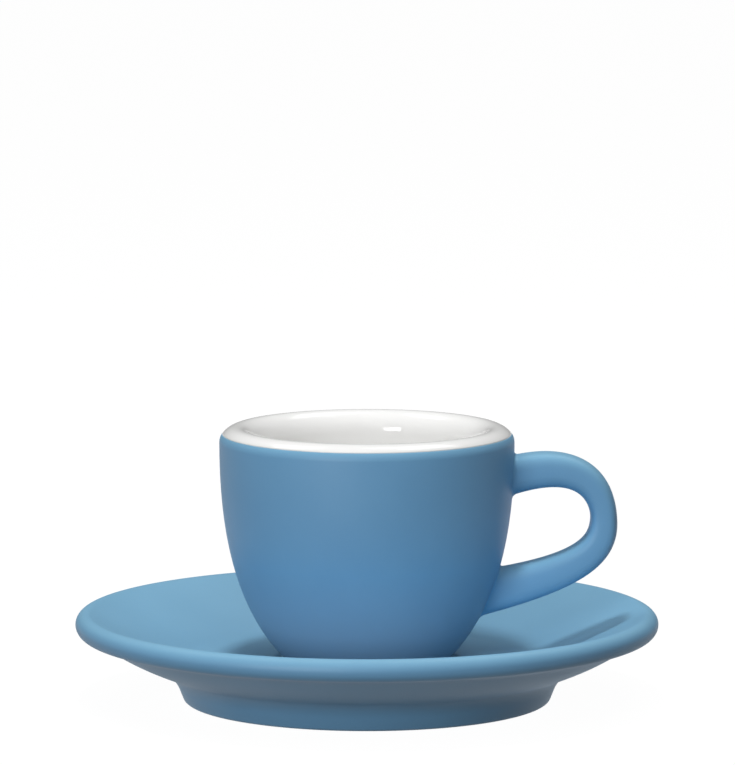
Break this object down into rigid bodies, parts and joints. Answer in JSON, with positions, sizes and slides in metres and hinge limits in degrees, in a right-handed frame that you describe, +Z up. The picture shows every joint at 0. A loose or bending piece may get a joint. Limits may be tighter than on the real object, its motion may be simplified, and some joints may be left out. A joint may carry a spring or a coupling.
{
  "type": "espresso cup and saucer",
  "caption": "Thick-walled espresso cup with a loop handle, white gloss inside and matt blue outside, standing on a deep matching saucer with a rolled rim.",
  "frame": {"origin": "centre of the saucer's foot, on the table", "axes": "+Z up along the common axis of cup and saucer; +X towards the handle; +Y makes a right-handed frame"},
  "size_m": [0.12, 0.12, 0.0567],
  "materials": {
    "bare_porcelain": "fired porcelain without glaze, fine-grained and matt",
    "blue_matt_glaze": "grey-blue satin-matt glaze",
    "white_gloss_glaze": "white high-gloss glaze"
  },
  "bodies": {
    "saucer": {"saucer_body": "bare_porcelain", "saucer_glaze": "blue_matt_glaze", "saucer_base_glaze": "blue_matt_glaze"},
    "cup": {"cup_body": "bare_porcelain", "cup_lining": "white_gloss_glaze", "cup_glaze": "blue_matt_glaze", "cup_base_glaze": "blue_matt_glaze", "handle": "blue_matt_glaze", "handle_slip_upper": "bare_porcelain", "handle_slip_lower": "bare_porcelain"}
  },
  "joints": [
    {"name": "cup_lift", "type": "slide", "parent": "saucer", "child": "cup", "axis": [0, 0, 1], "range_m": [0, 0.06]}
  ]
}
